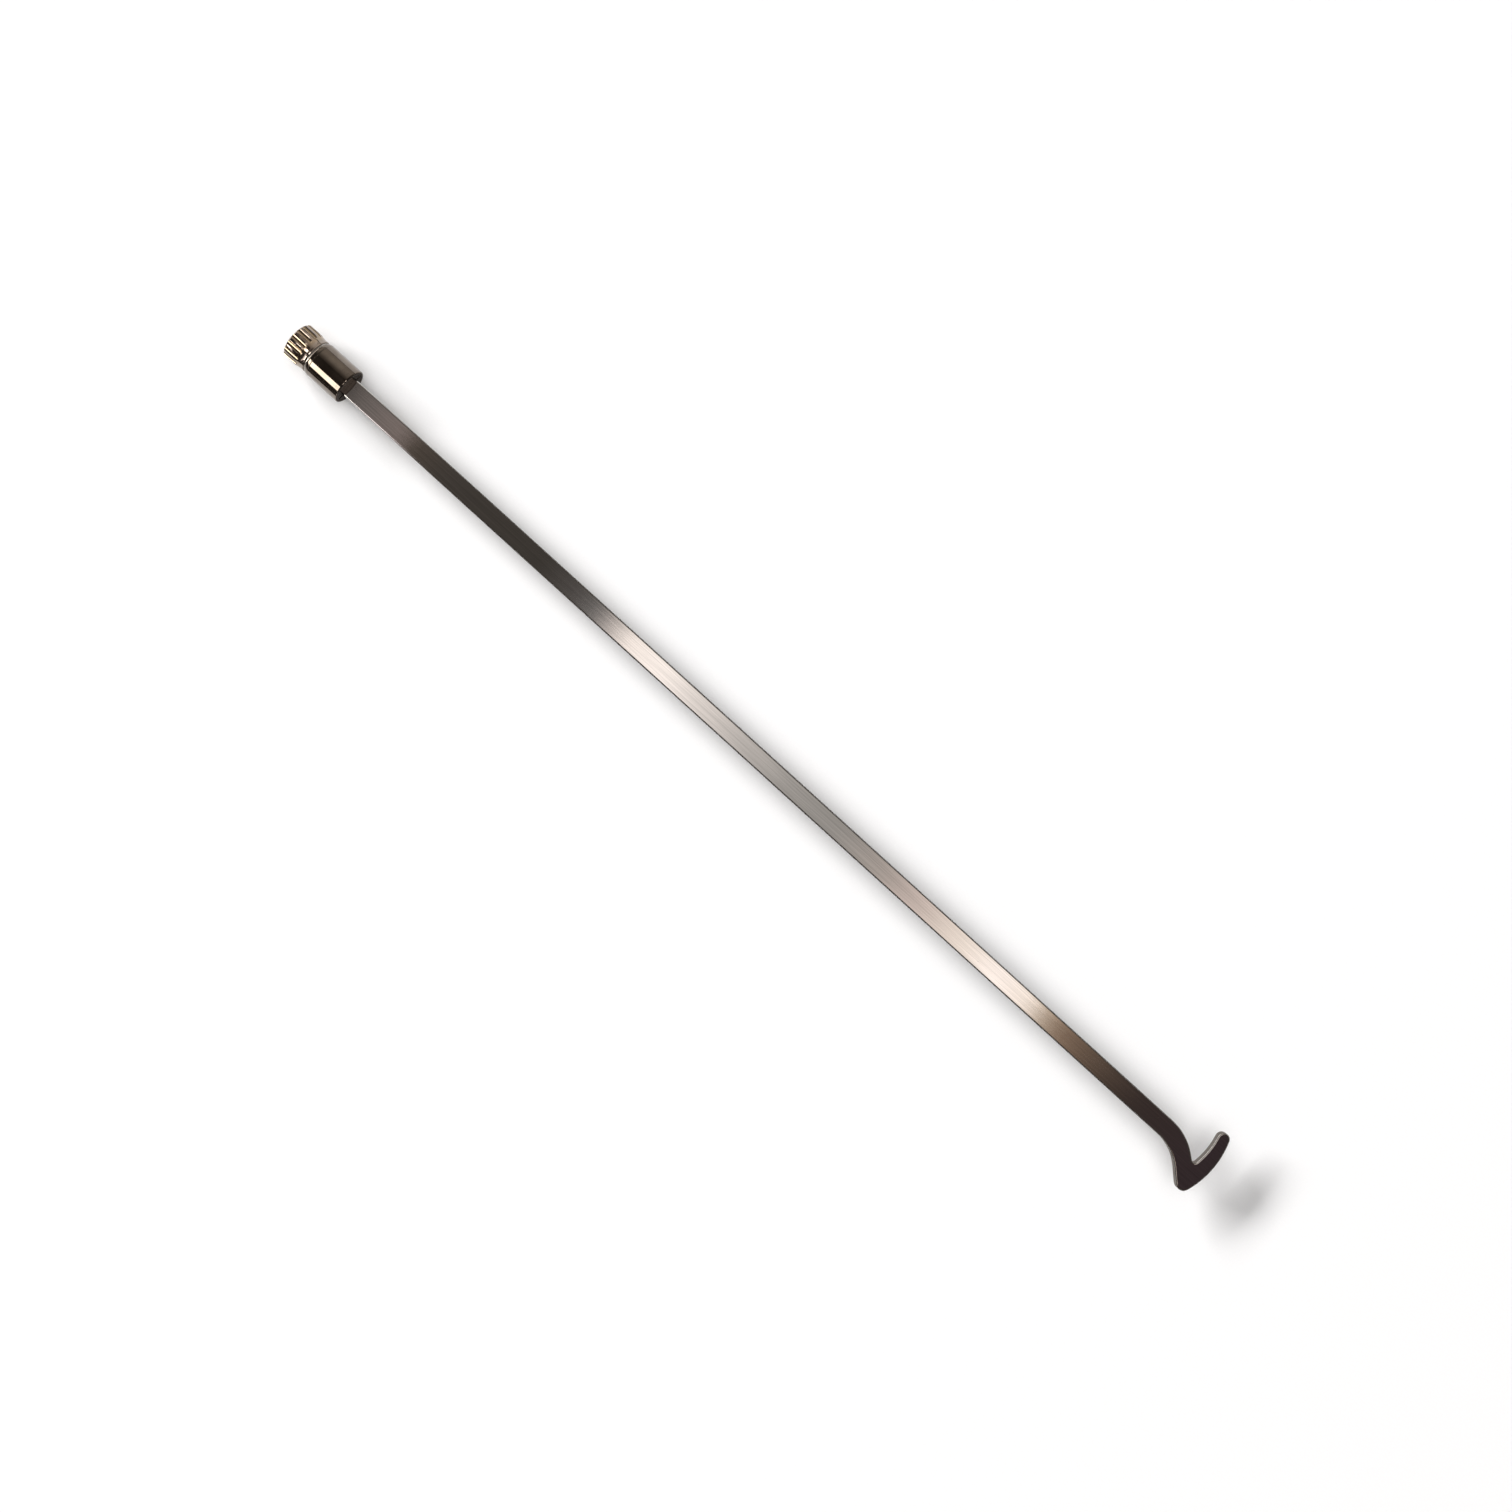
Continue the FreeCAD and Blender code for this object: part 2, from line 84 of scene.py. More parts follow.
def drawArc(centre, angle, axis, stepDegrees):
    # a plus angle is anticlockwise seen from the axis's end; with no window spin turns the other way
    steps = max(2, round(abs(math.degrees(angle)) / stepDegrees))
    bpy.ops.mesh.spin(steps=steps, angle=-angle, center=Vector(centre) * mm, axis=axis)


def mergeAll():
    bpy.ops.mesh.select_all(action="SELECT")
    bpy.ops.mesh.remove_doubles(threshold=mergeDistance)


def closeMesh():
    mergeAll()
    bpy.ops.mesh.normals_make_consistent(inside=False)
    bpy.ops.object.mode_set(mode="OBJECT")


def applyModifier(piece, kind, **settings):
    makeActive(piece)
    modifier = piece.modifiers.new(kind, kind)
    for name, value in settings.items():
        setattr(modifier, name, value)
    bpy.ops.object.modifier_apply(modifier=modifier.name)


def roundEdges(piece, width, segments, sharpDegrees):
    sharp = math.radians(sharpDegrees)
    applyModifier(piece, "BEVEL", width=width * mm, segments=segments, limit_method="ANGLE",
                  angle_limit=sharp)
    bpy.ops.object.shade_smooth_by_angle(angle=sharp)
    applyModifier(piece, "WEIGHTED_NORMAL", keep_sharp=True)


def cutWith(piece, cutter):
    applyModifier(piece, "BOOLEAN", object=cutter, operation="DIFFERENCE", solver="EXACT")
    bpy.data.objects.remove(cutter)


# turned pieces: a profile of (along the axis, radius) is drawn and spun round the X axis.
# A side may be an arc: (along, radius, turned degrees, centre along, centre radius)
def turnPiece(name, profile, turnSteps, arcStep):
    piece = startPoint(name, (profile[0][0], 0, profile[0][1]))
    for point in profile[1:]:
        if len(point) == 2:
            drawTo((point[0], 0, point[1]))
        else:
            drawArc((point[3], 0, point[4]), math.radians(point[2]), (0, 1, 0), arcStep)
    drawTo((profile[0][0], 0, profile[0][1]))
    mergeAll()
    bpy.ops.mesh.spin(steps=turnSteps, angle=fullTurn, center=(0, 0, 0), axis=(1, 0, 0))
    closeMesh()
    # half a step round, so that no edge lies exactly on an edge of a cutter, which would leave slivers
    makeActive(piece)
    piece.rotation_euler.x = fullTurn / turnSteps / 2
    bpy.ops.object.transform_apply(location=False, rotation=True, scale=False)
    return piece


# blade: flat bar, bend and crescent foot
blade = {
    "width": 4.0,
    "edgeRound": 0.35,
    "edgeSegments": 5,
    "edgeDegrees": 60,           # sharper edges than this are rounded
    "smoothDegrees": 30,         # flatter edges than this are shaded smooth
    "upperBendStart": 12.4,      # back from the far side of the foot
    "upperBendRadius": 11.5,
    "upperTurn": 39.0,
    "lowerBendStart": 12.7,
    "lowerBendRadius": 9.9,
    "lowerTurn": 43.0,
    "notchRadius": 0.6,
    "footThickness": 3.15,
    "footOuterRadius": 18.8,
    "footOuterDrop": 0.3,
    "footInnerRadius": 16.0,
    "footInnerRise": 1.6,
    "tipRadius": 1.277,
    "tipHeight": 5.95,
    "heelRadius": 1.6,
    "arcStep": 4.0,              # degrees in one edge of a large arc
    "roundStep": 12.0,           # degrees in one edge of a small round
    "ringSpacing": 6.0,          # cross-sections along the bar
}


def polar(angle, length):
    return Vector((math.cos(angle), math.sin(angle), 0)) * length


def bearing(fromPlace, toPlace):
    return math.atan2(toPlace.y - fromPlace.y, toPlace.x - fromPlace.x)


def roundCentre(start, slope, radius, centre, distance):
    # centre of a round that touches the line from start at that slope, that far from another centre
    along = polar(slope, 1)
    normal = polar(slope + quarterTurn, radius)
    base = start + normal - centre
    share = base.dot(along)
    return start + normal + along * (math.sqrt(share ** 2 - base.dot(base) + distance ** 2) - share)


def makeBlade():
    low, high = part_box("hook_blade")
    reach = high.x / mm
    tail = low.x / mm
    level = Vector((0, 0, low.z / mm))
    half = blade["width"] / 2
    upperTurn = math.radians(blade["upperTurn"])
    lowerTurn = math.radians(blade["lowerTurn"])
    lowerCentre = Vector((reach - blade["lowerBendStart"], -half - blade["lowerBendRadius"], 0))
    upperCentre = Vector((reach - blade["upperBendStart"], half - blade["upperBendRadius"], 0))
    lowerEnd = lowerCentre + polar(quarterTurn - lowerTurn, blade["lowerBendRadius"])
    upperEnd = upperCentre + polar(quarterTurn - upperTurn, blade["upperBendRadius"])
    outerCentre = Vector((reach - blade["footOuterRadius"], -blade["footOuterDrop"], 0))
    innerReach = reach - blade["footThickness"] - blade["footInnerRadius"]
    innerCentre = Vector((innerReach, blade["footInnerRise"], 0))
    tipRise = blade["tipHeight"] - outerCentre.y
    tipReach = blade["footOuterRadius"] - blade["tipRadius"]
    tipCentre = outerCentre + Vector((math.sqrt(tipReach ** 2 - tipRise ** 2), tipRise, 0))
    heelCentre = roundCentre(lowerEnd, -lowerTurn, blade["heelRadius"], outerCentre,
                             blade["footOuterRadius"] - blade["heelRadius"])
    notchCentre = roundCentre(upperEnd, -upperTurn, blade["notchRadius"], innerCentre,
                              blade["footInnerRadius"] - blade["notchRadius"])
    toHeel = bearing(outerCentre, heelCentre)
    toTip = bearing(outerCentre, tipCentre)
    toTipInside = bearing(innerCentre, tipCentre)
    toNotch = bearing(innerCentre, notchCentre)

    def arc(centre, angle, stepDegrees):
        drawArc(centre + level, angle, (0, 0, 1), stepDegrees)

    piece = startPoint("bladeBar", Vector((tail, -half, 0)) + level)
    drawTo(Vector((lowerCentre.x, -half, 0)) + level)
    arc(lowerCentre, -lowerTurn, blade["arcStep"])
    drawTo(heelCentre + polar(-quarterTurn - lowerTurn, blade["heelRadius"]) + level)
    arc(heelCentre, toHeel + quarterTurn + lowerTurn, blade["roundStep"])
    arc(outerCentre, toTip - toHeel, blade["arcStep"] / 2)
    arc(tipCentre, math.pi + toTipInside - toTip, blade["roundStep"])
    arc(innerCentre, toNotch - toTipInside, blade["arcStep"] / 2)
    arc(notchCentre, -quarterTurn - upperTurn - toNotch, blade["roundStep"])
    drawTo(upperEnd + level)
    arc(upperCentre, upperTurn, blade["arcStep"])
    drawTo(Vector((tail, half, 0)) + level)
    mergeAll()
    bpy.ops.mesh.edge_face_add()
    bpy.ops.mesh.extrude_region_move(TRANSFORM_OT_translate={"value": (0, 0, high.z - low.z)})
    closeMesh()
    applyModifier(piece, "BEVEL", width=blade["edgeRound"] * mm, segments=blade["edgeSegments"],
                  limit_method="ANGLE", angle_limit=math.radians(blade["edgeDegrees"]))
    bpy.ops.object.mode_set(mode="EDIT")
    place = tail + blade["ringSpacing"]
    while place < lowerCentre.x:
        bpy.ops.mesh.select_all(action="SELECT")
        bpy.ops.mesh.bisect(plane_co=(place * mm, 0, 0), plane_no=(1, 0, 0))
        place += blade["ringSpacing"]
    bpy.ops.object.mode_set(mode="OBJECT")
    bpy.ops.object.shade_smooth_by_angle(angle=math.radians(blade["smoothDegrees"]))
    applyModifier(piece, "WEIGHTED_NORMAL", keep_sharp=True)
    return piece


bladeBar = makeBlade()
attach(bladeBar, "blade")
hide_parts("hook_blade")
print("blade done:", len(bladeBar.data.polygons), "faces")


# collar: turned sleeve with a tapered mouth, a web and a grooved rear bore
collar = {
    "rimRound": 0.25,
    "shoulderLength": 0.9,
    "shoulderDrop": 0.2,
    "lineWidth": 0.1,            # fine turned line between barrel and shoulder
    "lineDepth": 0.04,
    "lineFlat": 0.4,             # share of the line's width that is its flat floor
    "mouthRadius": 3.15,
    "mouthLength": 3.0,
    "boreRadius": 2.65,
    "rearBoreDepth": 2.15,
    "rearBoreRadius": 2.9,
    "grooveStart": 1.45,         # collar's rear face to the groove's front wall
    "grooveWidth": 0.5,
    "grooveRadius": 3.2,
    "pinHoleRadius": 0.41,
    "pinHoleSides": 48,
    "edgeBreak": 0.05,           # small broken edges left by the lathe tool
    "breakSegments": 2,
    "sharpDegrees": 35,
    "turnSteps": 144,
    "arcStep": 6.0,
}


def arcDown(along, drop):
    # radius and turned angle of an arc that starts level with the axis and drops while it runs along
    radius = (along ** 2 + drop ** 2) / (2 * drop)
    return radius, math.degrees(math.asin(along / radius))


def makeCollar():
    low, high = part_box("chuck_collar")
    front = high.x / mm
    rear = low.x / mm
    outside = high.z / mm
    shoulderRadius, shoulderTurn = arcDown(collar["shoulderLength"], collar["shoulderDrop"])
    lineFloor = outside - collar["lineDepth"]
    lineSide = collar["lineWidth"] * (1 - collar["lineFlat"]) / 2
    grooveFront = rear + collar["grooveStart"]
    grooveBack = grooveFront - collar["grooveWidth"]
    web = rear + collar["rearBoreDepth"]
    shoulder = rear + collar["shoulderLength"]
    piece = turnPiece("collarSleeve", [
        (front, collar["mouthRadius"]),
        (front, outside - collar["rimRound"]),
        (0, 0, -90, front - collar["rimRound"], outside - collar["rimRound"]),
        (shoulder + collar["lineWidth"], outside),
        (shoulder + collar["lineWidth"] - lineSide, lineFloor),
        (shoulder + lineSide, lineFloor),
        (shoulder, outside),
        (0, 0, -shoulderTurn, shoulder, outside - shoulderRadius),
        (rear, collar["rearBoreRadius"]),
        (grooveBack, collar["rearBoreRadius"]),
        (grooveBack, collar["grooveRadius"]),
        (grooveFront, collar["grooveRadius"]),
        (grooveFront, collar["rearBoreRadius"]),
        (web, collar["rearBoreRadius"]),
        (web, collar["boreRadius"]),
        (front - collar["mouthLength"], collar["boreRadius"]),
    ], collar["turnSteps"], collar["arcStep"])
    pinLow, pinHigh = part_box("key_pin")
    leaveEdit()
    bpy.ops.mesh.primitive_cylinder_add(vertices=collar["pinHoleSides"], radius=collar["pinHoleRadius"] * mm,
                                        depth=outside * mm,
                                        location=((pinLow.x + pinHigh.x) / 2, 0, -outside * mm))
    cutWith(piece, bpy.context.object)
    roundEdges(piece, collar["edgeBreak"], collar["breakSegments"], collar["sharpDegrees"])
    return piece


collarSleeve = makeCollar()
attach(collarSleeve, "collar")
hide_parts("chuck_collar")
print("collar done:", len(collarSleeve.data.polygons), "faces")


# knob: fluted head on a concave neck, with the journal and bore that work the collet
knob = {
    "waistRadius": 3.7,
    "waistLand": 0.25,
    "neckLength": 2.0,
    "headRadius": 3.95,
    "headEdge": 0.45,
    "spigotRadius": 2.85,
    "grooveRadius": 2.35,
    "tapRadius": 1.45,
    "tapDepth": 5.8,             # from the journal's front to the bottom of the tapped bore
    "runningGap": 0.05,
    "fluteCount": 16,
    "fluteRadius": 0.62,
    "fluteDepth": 0.3,
    "fluteLength": 3.9,
    "fluteSides": 48,
    "noseStep": 9,
    "crestRound": 0.06,          # softened crests between the flutes
    "crestSegments": 2,
    "sharpDegrees": 30,
    "turnSteps": 192,
    "arcStep": 3.0,
}


def makeKnob():
    low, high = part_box("clamp_knob")
    ringLow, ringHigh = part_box("retaining_ring")
    washerLow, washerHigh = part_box("thrust_washer")
    gap = knob["runningGap"]
    spigotEnd = high.x / mm
    headEnd = low.x / mm
    face = washerLow.x / mm - gap
    waist = face - knob["waistLand"]
    grooveFront = ringHigh.x / mm + gap
    grooveBack = ringLow.x / mm - gap
    head = knob["headRadius"]
    neckRadius, neckTurn = arcDown(knob["neckLength"], head - knob["waistRadius"])
    edge = knob["headEdge"]
    piece = turnPiece("knobHead", [
        (spigotEnd, knob["tapRadius"]),
        (spigotEnd, knob["spigotRadius"]),
        (grooveFront, knob["spigotRadius"]),
        (grooveFront, knob["grooveRadius"]),
        (grooveBack, knob["grooveRadius"]),
        (grooveBack, knob["spigotRadius"]),
        (face, knob["spigotRadius"]),
        (face, knob["waistRadius"]),
        (waist, knob["waistRadius"]),
        (0, 0, neckTurn, waist, knob["waistRadius"] + neckRadius),
        (headEnd + edge, head),
        (0, 0, -90, headEnd + edge, head - edge),
        (headEnd, 0),
        (spigotEnd - knob["tapDepth"], 0),
        (spigotEnd - knob["tapDepth"], knob["tapRadius"]),
    ], knob["turnSteps"], knob["arcStep"])

    # one round-nosed cutter beside the head, then its copies round the axis
    rod = knob["fluteRadius"]
    rodAxis = head + rod - knob["fluteDepth"]
    rodBack = headEnd - rod
    rodNose = headEnd + knob["fluteLength"]
    cutter = startPoint("fluteCutter", (rodBack, 0, rodAxis))
    drawTo((rodBack, 0, rodAxis - rod))
    drawTo((rodNose - rod, 0, rodAxis - rod))
    drawArc((rodNose - rod, 0, rodAxis), -quarterTurn, (0, 1, 0), knob["noseStep"])
    bpy.ops.mesh.select_all(action="SELECT")
    bpy.ops.mesh.spin(steps=knob["fluteSides"], angle=fullTurn, center=(0, 0, rodAxis * mm), axis=(1, 0, 0))
    closeMesh()
    cutters = [cutter]
    for index in range(1, knob["fluteCount"]):
        makeActive(cutter)
        bpy.ops.object.duplicate()
        turned = bpy.context.object
        turned.rotation_euler.x = fullTurn * index / knob["fluteCount"]
        bpy.ops.object.transform_apply(location=True, rotation=True, scale=True)
        cutters.append(turned)
    for each in cutters:
        each.select_set(True)
    bpy.ops.object.join()
    cutWith(piece, bpy.context.object)
    roundEdges(piece, knob["crestRound"], knob["crestSegments"], knob["sharpDegrees"])
    return piece


knobHead = makeKnob()
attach(knobHead, "knob")
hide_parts("clamp_knob")
print("knob done:", len(knobHead.data.polygons), "faces")


# materials: one helper adds a node with its settings and links
def linear(hexColour):
    channels = [int(hexColour[i:i + 2], 16) / 255 for i in (1, 3, 5)]
    return [c / 12.92 if c <= 0.04045 else ((c + 0.055) / 1.055) ** 2.4 for c in channels] + [1]


def addNode(tree, kind, inputs=None, stops=None, **settings):
    node = tree.nodes.new(kind)
    for name, value in settings.items():
        setattr(node, name, value)
    for socket, value in (inputs or {}).items():
        if isinstance(value, bpy.types.NodeSocket):
            tree.links.new(value, node.inputs[socket])
        else:
            node.inputs[socket].default_value = value
    if stops:
        while len(node.color_ramp.elements) < len(stops):
            node.color_ramp.elements.new(1)
        for element, (position, colour) in zip(node.color_ramp.elements, stops):
            element.position = position
            element.color = colour
    return node


def newMaterial(name):
    material = bpy.data.materials.new(name)
    material.use_nodes = True
    material.node_tree.nodes.clear()
    return material, material.node_tree


def finishMaterial(tree, shader):
    addNode(tree, "ShaderNodeOutputMaterial", {"Surface": shader.outputs["BSDF"]})


def perMm(size):
    # a texture's scale for a pattern of this size in millimetres
    return 1 / (size * mm)


# most of a noise's values lie between these two
noiseLow = 0.3
noiseHigh = 0.7


# stainless steel bar, ground lengthwise and polished: long fine marks, a few pits, faint waves in the shine
groundSteel = {
    "light": "#DDDBD9",
    "dark": "#C5C4C2",
    "markWidth": 0.22,           # real marks are about 0.02 mm; drawn ten times as coarse so that they show
    "markLength": 14.0,
    "waveLength": 16.0,
    "pitSpacing": 2.2,
    "pitRadius": 0.06,
    "pitColour": "#6E645C",
    "smudgeSize": 9.0,
    "waveBump": 0.012,
    "markBump": 0.003,
    "pitBump": 0.01,
    "pitStrength": 0.6,
    "flatStart": 0.44,           # the marks fade in between these two, 0.5 being dead flat
    "flatEnd": 0.499,
    "roughnessLow": 0.03,
    "roughnessHigh": 0.065,
}


def makeGroundSteel():
    material, tree = newMaterial("groundPolishedStainlessSteel")
    look = groundSteel
    texture = addNode(tree, "ShaderNodeTexCoord")
    place = texture.outputs["Object"]
    along = perMm(look["markLength"])
    across = perMm(look["markWidth"])
    stretched = addNode(tree, "ShaderNodeMapping", {"Vector": place, "Scale": (along, across, across)})
    marks = addNode(tree, "ShaderNodeTexNoise", {"Vector": stretched.outputs["Vector"], "Scale": 1.0,
                                                 "Detail": 3.0, "Roughness": 0.6})
    smudges = addNode(tree, "ShaderNodeTexNoise", {"Vector": place, "Scale": perMm(look["smudgeSize"]),
                                                   "Detail": 4.0})
    waves = addNode(tree, "ShaderNodeTexNoise", {"Vector": place, "Scale": perMm(look["waveLength"]),
                                                 "Detail": 1.0})
    pits = addNode(tree, "ShaderNodeTexVoronoi", {"Vector": place, "Scale": perMm(look["pitSpacing"])})
    pitEdge = look["pitRadius"] / look["pitSpacing"]
    hollow = addNode(tree, "ShaderNodeMapRange", {"Value": pits.outputs["Distance"], "From Min": pitEdge / 2,
                                                  "From Max": pitEdge, "To Min": 0.0, "To Max": 1.0})
    colour = addNode(tree, "ShaderNodeValToRGB", {"Fac": marks.outputs["Fac"]},
                     stops=[(noiseLow, linear(look["dark"])), (noiseHigh, linear(look["light"]))])
    pitted = addNode(tree, "ShaderNodeMix", {"Factor": hollow.outputs["Result"], "A": linear(look["pitColour"]),
                                             "B": colour.outputs["Color"]}, data_type="RGBA")
    rough = addNode(tree, "ShaderNodeMapRange", {"Value": smudges.outputs["Fac"],
                                                 "From Min": noiseLow, "From Max": noiseHigh,
                                                 "To Min": look["roughnessLow"],
                                                 "To Max": look["roughnessHigh"]})
    # the rounded edges were polished smooth, so the marks stay on the flats: a normal's upward part is 1 on
    # the broad faces and 0 on the sides, and both are half a unit from 0.5
    facing = addNode(tree, "ShaderNodeSeparateXYZ", {"Vector": texture.outputs["Normal"]})
    upward = addNode(tree, "ShaderNodeMath", {0: facing.outputs["Z"]}, operation="ABSOLUTE")
    slope = addNode(tree, "ShaderNodeMath", {0: upward.outputs["Value"], 1: 0.5}, operation="SUBTRACT")
    flatness = addNode(tree, "ShaderNodeMath", {0: slope.outputs["Value"]}, operation="ABSOLUTE")
    onFlat = addNode(tree, "ShaderNodeMapRange", {"Value": flatness.outputs["Value"],
                                                  "From Min": look["flatStart"], "From Max": look["flatEnd"]})
    waveBump = addNode(tree, "ShaderNodeBump", {"Height": waves.outputs["Fac"], "Strength": 1.0,
                                                "Distance": look["waveBump"] * mm})
    markBump = addNode(tree, "ShaderNodeBump", {"Height": marks.outputs["Fac"],
                                                "Strength": onFlat.outputs["Result"],
                                                "Distance": look["markBump"] * mm,
                                                "Normal": waveBump.outputs["Normal"]})
    pitBump = addNode(tree, "ShaderNodeBump", {"Height": hollow.outputs["Result"],
                                               "Strength": look["pitStrength"],
                                               "Distance": look["pitBump"] * mm,
                                               "Normal": markBump.outputs["Normal"]})
    shader = addNode(tree, "ShaderNodeBsdfPrincipled", {"Base Color": pitted.outputs["Result"], "Metallic": 1.0,
                                                        "Roughness": rough.outputs["Result"],
                                                        "Normal": pitBump.outputs["Normal"]})
    finishMaterial(tree, shader)
    return material


bladeBar.data.materials.append(makeGroundSteel())


# black nickel plate on turned brass: a dark mirror with very fine lathe rings under the plate
blackNickel = {
    "light": "#857C73",
    "dark": "#746B63",
    "ringWidth": 0.09,           # real rings are about 0.03 mm; three times as coarse so that they show
    "ringBump": 0.0006,
    "cloudSize": 3.0,
    "roughnessLow": 0.04,
    "roughnessHigh": 0.08,
}


# the plate's tone drifts in soft clouds, from its dark to its light colour between these two noise values
cloudLow = 0.35
cloudHigh = 0.65


def makeTurnedMetal(name, look, browned=None, face=None):
    material, tree = newMaterial(name)
    place = addNode(tree, "ShaderNodeTexCoord").outputs["Object"]
    parts = addNode(tree, "ShaderNodeSeparateXYZ", {"Vector": place})
    flat = addNode(tree, "ShaderNodeCombineXYZ", {"Y": parts.outputs["Y"], "Z": parts.outputs["Z"]})
    radius = addNode(tree, "ShaderNodeVectorMath", {0: flat.outputs["Vector"]}, operation="LENGTH")
    # along the axis on a barrel, outwards on a face: the path of the lathe tool either way
    toolPath = addNode(tree, "ShaderNodeMath", {0: parts.outputs["X"], 1: radius.outputs["Value"]},
                       operation="ADD")
    rings = addNode(tree, "ShaderNodeTexNoise", {"W": toolPath.outputs["Value"],
                                                 "Scale": perMm(look["ringWidth"]), "Detail": 2.0},
                    noise_dimensions="1D")
    clouds = addNode(tree, "ShaderNodeTexNoise", {"Vector": place, "Scale": perMm(look["cloudSize"]),
                                                  "Detail": 3.0})
    ramp = addNode(tree, "ShaderNodeValToRGB", {"Fac": clouds.outputs["Fac"]},
                   stops=[(cloudLow, linear(look["dark"])), (cloudHigh, linear(look["light"]))])
    colour = ramp.outputs["Color"]
    rough = addNode(tree, "ShaderNodeMapRange", {"Value": clouds.outputs["Fac"],
                                                 "From Min": noiseLow, "From Max": noiseHigh,
                                                 "To Min": look["roughnessLow"],
                                                 "To Max": look["roughnessHigh"]}).outputs["Result"]
    if browned:
        depth = addNode(tree, "ShaderNodeMapRange", {"Value": radius.outputs["Value"],
                                                     "From Min": browned["floorRadius"] * mm,
                                                     "From Max": browned["crestRadius"] * mm,
                                                     "To Min": 1.0, "To Max": 0.0})
        onHead = addNode(tree, "ShaderNodeMapRange", {"Value": parts.outputs["X"],
                                                      "From Min": browned["fluteEnd"] * mm,
                                                      "From Max": browned["neck"] * mm,
                                                      "To Min": 1.0, "To Max": 0.0})
        share = addNode(tree, "ShaderNodeMath", {0: depth.outputs["Result"], 1: onHead.outputs["Result"]},
                        operation="MULTIPLY")
        colour = addNode(tree, "ShaderNodeMix", {"Factor": share.outputs["Value"], "A": colour,
                                                 "B": linear(browned["colour"])},
                         data_type="RGBA").outputs["Result"]
        rough = addNode(tree, "ShaderNodeMix", {"Factor": share.outputs["Value"], "A": rough,
                                                "B": browned["roughness"]}).outputs["Result"]
    # painted shade: the front face gets a darker colour, and a rougher finish
    if face:
        onFace = addNode(tree, "ShaderNodeMapRange", {"Value": parts.outputs["X"],
                                                      "From Min": face["start"] * mm,
                                                      "From Max": face["end"] * mm})
        colour = addNode(tree, "ShaderNodeMix", {"Factor": onFace.outputs["Result"], "A": colour,
                                                 "B": linear(face["colour"])},
                         data_type="RGBA").outputs["Result"]
        rough = addNode(tree, "ShaderNodeMix", {"Factor": onFace.outputs["Result"], "A": rough,
                                                "B": face["roughness"]}).outputs["Result"]
    bump = addNode(tree, "ShaderNodeBump", {"Height": rings.outputs["Fac"], "Strength": 1.0,
                                            "Distance": look["ringBump"] * mm})
    shader = addNode(tree, "ShaderNodeBsdfPrincipled", {"Base Color": colour, "Metallic": 1.0,
                                                        "Roughness": rough, "Normal": bump.outputs["Normal"]})
    if face:
        # painted shade: the front face's shine is also dimmed at a glancing angle
        glancing = addNode(tree, "ShaderNodeMix", {"Factor": onFace.outputs["Result"], "A": linear("#FFFFFF"),
                                                   "B": linear(face["grazing"])}, data_type="RGBA")
        tree.links.new(glancing.outputs["Result"], shader.inputs["Specular Tint"])
    finishMaterial(tree, shader)
    return material


# painted shade on the front face: a dark colour and a shine dimmed at a glancing angle stand in for the shade
# it mirrors; its finish is also rougher
frontFacePaintedShade = {
    "start": 4.22,               # along the axis, just behind the face
    "end": 4.28,
    "colour": "#302926",
    "roughness": 0.22,
    "grazing": "#D6D3D0",
}
barrelPlate = makeTurnedMetal("blackNickelPlatedTurnedBrass", blackNickel, face=frontFacePaintedShade)
collarSleeve.data.materials.append(barrelPlate)

# the plate is thinner and browner where it could not reach into the flutes
flutedPlate = {
    "colour": "#A6947C",
    "roughness": 0.16,
    "floorRadius": 3.68,         # fully brown at the flutes' floor, and not at all at their crests
    "crestRadius": 3.93,
    "fluteEnd": -5.9,            # along the axis: the brown fades out from here to the neck
    "neck": -5.4,
}
thinPlate = dict(blackNickel, light="#A59A91", dark="#94897F")
knobHead.data.materials.append(makeTurnedMetal("blackNickelPlatedFlutedBrass", thinPlate, flutedPlate))

# inner pieces keep their CAD shape and get the finish of how each was made
innerFinishes = {
    "draw_collet": ("nickelFlashedTurnedBrass",
                    {"light": "#B9A78A", "dark": "#8F7C60", "ringWidth": 0.08, "ringBump": 0.0012,
                     "cloudSize": 2.0, "roughnessLow": 0.18, "roughnessHigh": 0.30}),
    "thrust_washer": ("turnedSpringSteelWasher",
                      {"light": "#D6D2CC", "dark": "#BDB8B2", "ringWidth": 0.06, "ringBump": 0.001,
                       "cloudSize": 1.5, "roughnessLow": 0.3, "roughnessHigh": 0.42}),
    "retaining_ring": ("oiledDrawnSpringWire",
                       {"light": "#7E7F84", "dark": "#55565B", "ringWidth": 0.05, "ringBump": 0.0008,
                        "cloudSize": 1.0, "roughnessLow": 0.25, "roughnessHigh": 0.4}),
    "key_pin": ("groundSteelPin",
                {"light": "#C4C1BC", "dark": "#A19D97", "ringWidth": 0.05, "ringBump": 0.0008,
                 "cloudSize": 0.8, "roughnessLow": 0.2, "roughnessHigh": 0.3}),
}
for node, (finishName, look) in innerFinishes.items():
    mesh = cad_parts[node].data
    mesh.materials.clear()
    # the collet's front face gets the same painted shade
    face = frontFacePaintedShade if node == "draw_collet" else None
    mesh.materials.append(makeTurnedMetal(finishName, look, face=face))
print("materials done:", len(bpy.data.materials))


# floor: matt white card that the head rests on; it falls away a little towards the foot, which hangs over it
floor = {
    "size": 3.0,
    "fall": 0.49,                # degrees
    "gap": 0.002,                # mm under the head
    "colour": "#F8F7F7",
    "shade": "#F6F5F5",
    "grain": 0.4,
    "roughness": 0.75,
}
floorFall = math.radians(floor["fall"])
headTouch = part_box("clamp_knob")[0].x + knob["headEdge"] * mm


def overFloor(along, lift):
    # height of a point that stands this far over the floor
    return (lift - knob["headRadius"]) * mm - (along - headTouch) * math.tan(floorFall)


